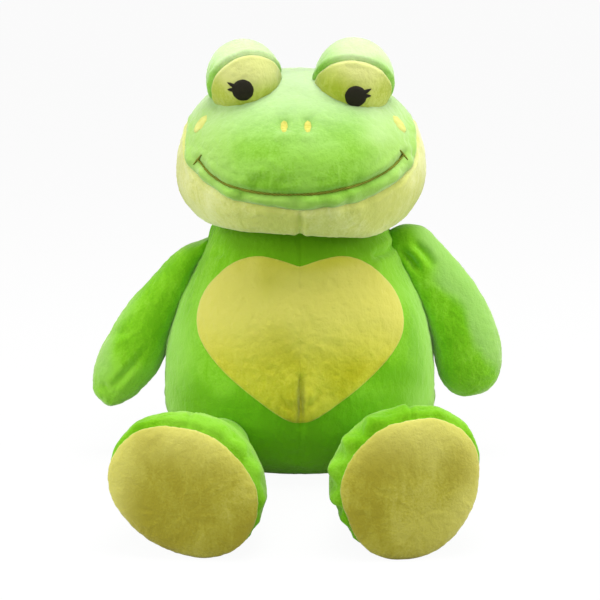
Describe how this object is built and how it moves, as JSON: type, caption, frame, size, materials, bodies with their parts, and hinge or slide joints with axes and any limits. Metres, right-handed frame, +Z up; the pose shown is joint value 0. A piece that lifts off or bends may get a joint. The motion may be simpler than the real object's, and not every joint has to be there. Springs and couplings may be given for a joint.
{
  "type": "plush frog",
  "caption": "Seated stuffed frog sewn from fabric panels, with raised eyes, a stitched smile, a heart on its tummy, and a head, arms and legs that flex at their seams.",
  "frame": {"origin": "middle of the flat seat, on the floor that the frog sits on", "axes": "+Z up, -Y the way the frog faces, +X towards the frog's own left"},
  "size_m": [0.2904, 0.2964, 0.2927],
  "materials": {
    "bright_green_plush": "short pile plush",
    "pale_green_plush": "short pile plush",
    "chin_plush": "short pile plush",
    "heart_plush": "short pile plush",
    "eye_plush": "short pile plush",
    "sole_plush": "short pile plush",
    "brown_thread": "embroidery thread",
    "yellow_thread": "embroidery thread",
    "dark_thread": "embroidery thread",
    "fibre_stuffing": "loose fibre"
  },
  "bodies": {
    "torso": {"seat_panel": "bright_green_plush", "torso_back_left": "bright_green_plush", "torso_back_right": "bright_green_plush", "torso_front_left": "bright_green_plush", "torso_front_right": "bright_green_plush", "torso_stuffing": "fibre_stuffing", "tummy_heart": "heart_plush"},
    "neck": {"neck_stuffing": "fibre_stuffing"},
    "head": {"cheek_mark_left": "yellow_thread", "cheek_mark_right": "yellow_thread", "eye_front_left": "eye_plush", "eye_front_right": "eye_plush", "eye_lid_left": "pale_green_plush", "eye_lid_right": "pale_green_plush", "eye_stuffing_left": "fibre_stuffing", "eye_stuffing_right": "fibre_stuffing", "head_back_left": "pale_green_plush", "head_back_right": "pale_green_plush", "head_stuffing": "fibre_stuffing", "head_top": "pale_green_plush", "jaw_left": "chin_plush", "jaw_right": "chin_plush", "nostril_left": "yellow_thread", "nostril_right": "yellow_thread", "pupil_left": "dark_thread", "pupil_right": "dark_thread", "smile": "brown_thread"},
    "arm_left": {"arm_back_left": "bright_green_plush", "arm_front_left": "bright_green_plush", "arm_stuffing_left": "fibre_stuffing"},
    "arm_right": {"arm_back_right": "bright_green_plush", "arm_front_right": "bright_green_plush", "arm_stuffing_right": "fibre_stuffing"},
    "leg_left": {"leg_inner_left": "bright_green_plush", "leg_outer_left": "bright_green_plush", "leg_stuffing_left": "fibre_stuffing", "sole_left": "sole_plush"},
    "leg_right": {"leg_inner_right": "bright_green_plush", "leg_outer_right": "bright_green_plush", "leg_stuffing_right": "fibre_stuffing", "sole_right": "sole_plush"}
  },
  "joints": [
    {"name": "head_nod", "type": "hinge", "parent": "torso", "child": "neck", "pos_m": [0, 0, 0.15], "axis": [1, 0, 0], "range_deg": [-14, 12], "stiffness_Nm_per_rad": 0.6},
    {"name": "head_turn", "type": "hinge", "parent": "neck", "child": "head", "pos_m": [0, 0, 0.15], "axis": [0, 0, 1], "range_deg": [-35, 35], "stiffness_Nm_per_rad": 0.3},
    {"name": "arm_swing_left", "type": "hinge", "parent": "torso", "child": "arm_left", "pos_m": [0.07351, 0, 0.144], "axis": [-0.866, 0, -0.5], "range_deg": [-35, 90], "stiffness_Nm_per_rad": 0.02},
    {"name": "arm_swing_right", "type": "hinge", "parent": "torso", "child": "arm_right", "pos_m": [-0.07351, 0, 0.144], "axis": [-0.866, 0, 0.5], "range_deg": [-35, 90], "stiffness_Nm_per_rad": 0.02},
    {"name": "leg_lift_left", "type": "hinge", "parent": "torso", "child": "leg_left", "pos_m": [0.053, -0.07981, 0.028], "axis": [-1, 0, 0], "range_deg": [-15, 30], "stiffness_Nm_per_rad": 0.3},
    {"name": "leg_lift_right", "type": "hinge", "parent": "torso", "child": "leg_right", "pos_m": [-0.053, -0.07981, 0.028], "axis": [-1, 0, 0], "range_deg": [-15, 30], "stiffness_Nm_per_rad": 0.3}
  ]
}
